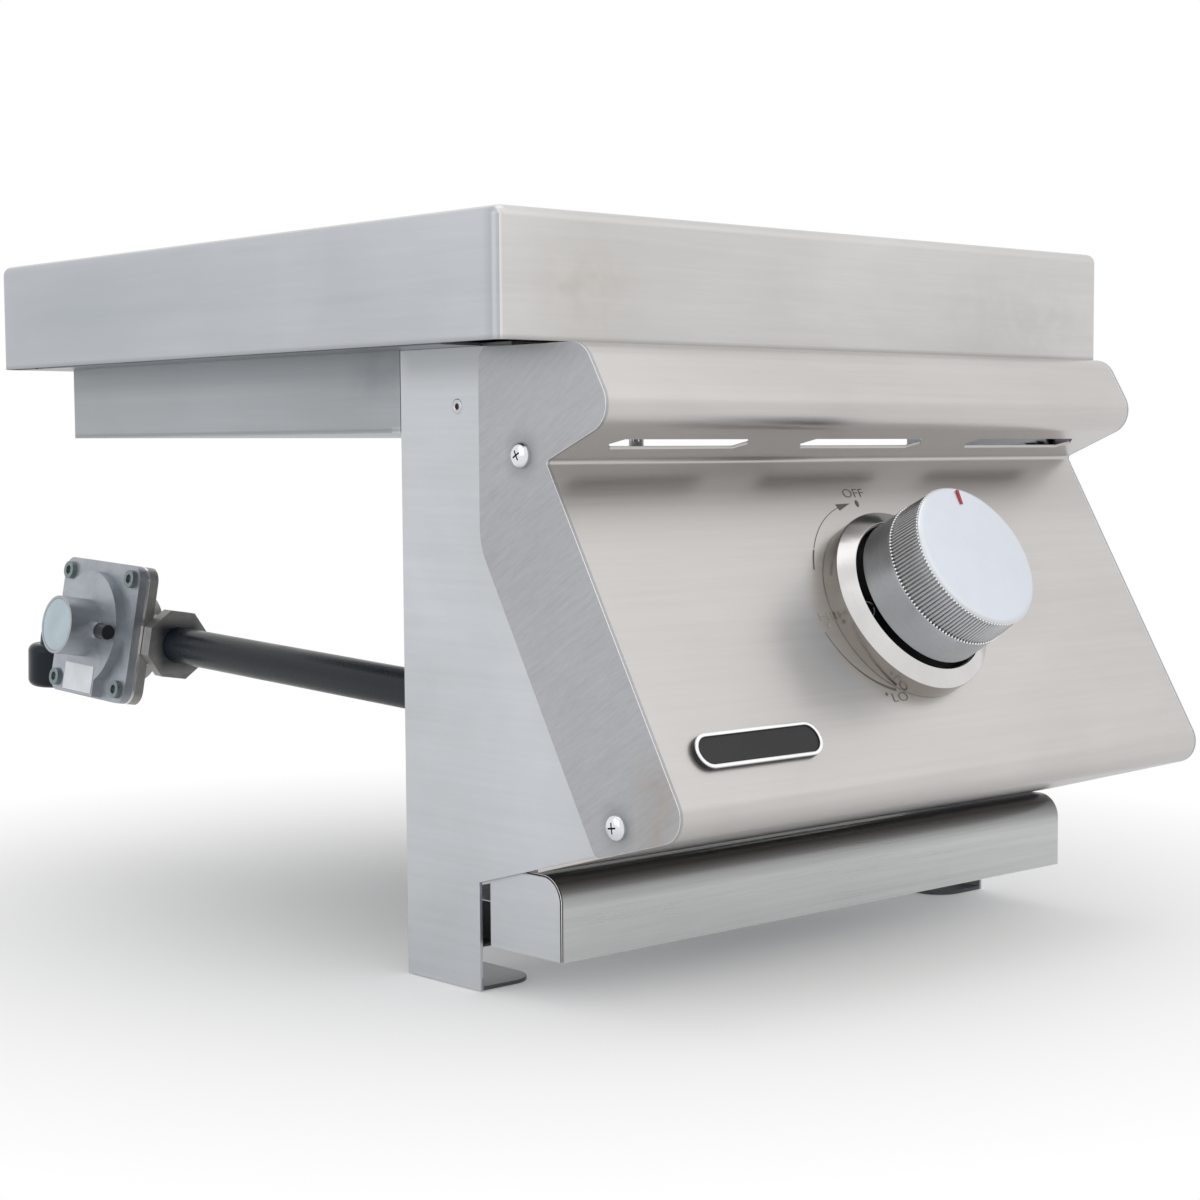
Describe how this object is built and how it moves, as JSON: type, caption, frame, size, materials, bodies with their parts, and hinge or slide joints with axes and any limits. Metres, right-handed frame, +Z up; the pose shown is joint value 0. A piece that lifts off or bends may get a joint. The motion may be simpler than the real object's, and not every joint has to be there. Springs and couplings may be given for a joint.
{
  "type": "built in side burner",
  "caption": "Drop-in gas side burner with a flat lift-off lid, a sloped front panel with a control knob, side legs, a drip tray and a rear gas regulator.",
  "frame": {"origin": "on the burner's axis, level with the tongue of the pan, 3 mm below the worktop plane on which the counter flange rests", "axes": "+Z up, -Y towards the front panel, +X to the right seen from the front"},
  "size_m": [0.343, 0.5478, 0.2866],
  "materials": {
    "steel": "warm grey brushed stainless steel",
    "steel_shade": "satin stainless steel",
    "zinc": "zinc plated steel",
    "screw_steel": "bright steel",
    "chrome": "polished chrome",
    "badge": "dark charcoal",
    "cast_alloy": "cast aluminium alloy",
    "black_pipe": "black painted steel pipe",
    "brass": "machined brass",
    "rubber": "black rubber",
    "knob_metal": "satin plated metal",
    "knob_grip": "knurled satin metal",
    "knob_face": "bluish satin metal",
    "pointer": "red line",
    "vent": "black plastic",
    "cap_disc": "pale blue grey plastic",
    "label": "blank white label",
    "cast_iron": "black enamelled cast iron",
    "grate": "stainless rod",
    "ceramic": "white glazed ceramic",
    "piezo": "black plastic",
    "diaphragm": "light metal rim of the diaphragm"
  },
  "bodies": {
    "frame": {"badge_plate": "badge", "badge_rim": "chrome", "bezel_screws": "screw_steel", "bonnet_screws": "screw_steel", "bracket_rivets": "screw_steel", "burner_base": "cast_alloy", "burner_pan": "steel_shade", "burner_ring": "brass", "burner_screws": "screw_steel", "control_panel": "steel", "cross_rail": "zinc", "electrode_clip": "zinc", "electrode_tip": "screw_steel", "gas_pipe": "black_pipe", "igniter_electrode": "ceramic", "inlet_elbow": "black_pipe", "knob_bezel": "chrome", "lid_bumpers": "rubber", "orifice": "brass", "panel_end_cap_left": "steel_shade", "panel_end_cap_right": "steel_shade", "panel_screw_inserts": "zinc", "panel_screws": "screw_steel", "piezo_igniter": "piezo", "pipe_end_plug": "black_pipe", "pipe_strap": "zinc", "regulator_body": "cast_alloy", "regulator_cap": "cap_disc", "regulator_cover": "cast_alloy", "regulator_diaphragm": "diaphragm", "regulator_label": "label", "regulator_screws": "screw_steel", "regulator_spring": "screw_steel", "side_bracket_left": "steel_shade", "side_bracket_right": "steel_shade", "strap_screws": "screw_steel", "tray_rail_left": "zinc", "tray_rail_right": "zinc", "valve_body": "brass", "valve_bonnet": "zinc", "vent_plug": "vent", "venturi_tube": "zinc"},
    "lid": {"lid": "steel"},
    "grate": {"grate_frame": "grate", "grate_bars": "grate"},
    "burner_cap": {"burner_cap": "cast_iron"},
    "valve_plug": {"valve_plug": "brass", "stem_spring": "screw_steel"},
    "knob": {"knob_body": "knob_metal", "knob_insert": "zinc", "knob_grip": "knob_grip", "knob_face": "knob_face", "knob_pointer": "pointer", "valve_stem": "zinc"},
    "tray": {"drip_tray": "steel_shade", "tray_front": "steel"},
    "shutter": {"air_shutter": "zinc"}
  },
  "joints": [
    {"name": "lid_lift", "type": "slide", "parent": "frame", "child": "lid", "axis": [0, 0, 1], "range_m": [0, 0.12]},
    {"name": "grate_lift", "type": "slide", "parent": "frame", "child": "grate", "axis": [0, 0, 1], "range_m": [0, 0.012]},
    {"name": "burner_cap_lift", "type": "slide", "parent": "frame", "child": "burner_cap", "axis": [0, 0, 1], "range_m": [0, 0.005]},
    {"name": "knob_turn", "type": "hinge", "parent": "frame", "child": "valve_plug", "pos_m": [0, -0.2125, -0.09712], "axis": [0, -0.866, 0.5], "range_deg": [0, 155]},
    {"name": "knob_press", "type": "slide", "parent": "valve_plug", "child": "knob", "axis": [0, 0.866, -0.5], "range_m": [0, 0.003], "stiffness_N_per_m": 1000, "springref_m": -0.003, "deforming": ["stem_spring"]},
    {"name": "tray_slide", "type": "slide", "parent": "frame", "child": "tray", "axis": [0, -1, 0], "range_m": [0, 0.055]},
    {"name": "air_shutter_turn", "type": "hinge", "parent": "frame", "child": "shutter", "pos_m": [0, -0.126, -0.112], "axis": [0, 1, 0], "range_deg": [0, 60]}
  ]
}
